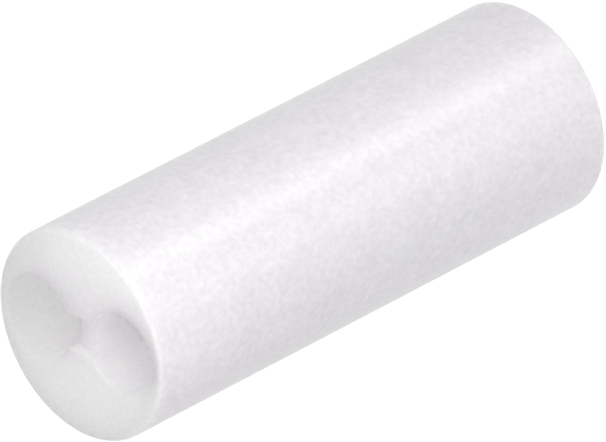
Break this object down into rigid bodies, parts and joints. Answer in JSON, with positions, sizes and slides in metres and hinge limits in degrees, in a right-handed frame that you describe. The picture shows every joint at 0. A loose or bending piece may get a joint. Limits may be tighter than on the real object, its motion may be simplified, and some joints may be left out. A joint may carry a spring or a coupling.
{
  "type": "led spacer",
  "caption": "Plain round spacer with parallel lead channels that holds an LED at a set height above a circuit board.",
  "frame": {"origin": "centre of the end face that stands on the circuit board", "axes": "+Z along the spacer, from the board to the LED; X runs through the axes of both lead channels"},
  "size_m": [0.005, 0.005, 0.014],
  "materials": {
    "natural_plastic": "natural unfilled nylon, milky translucent white, soft satin"
  },
  "bodies": {
    "root": {"spacer_body": "natural_plastic"}
  },
  "joints": []
}
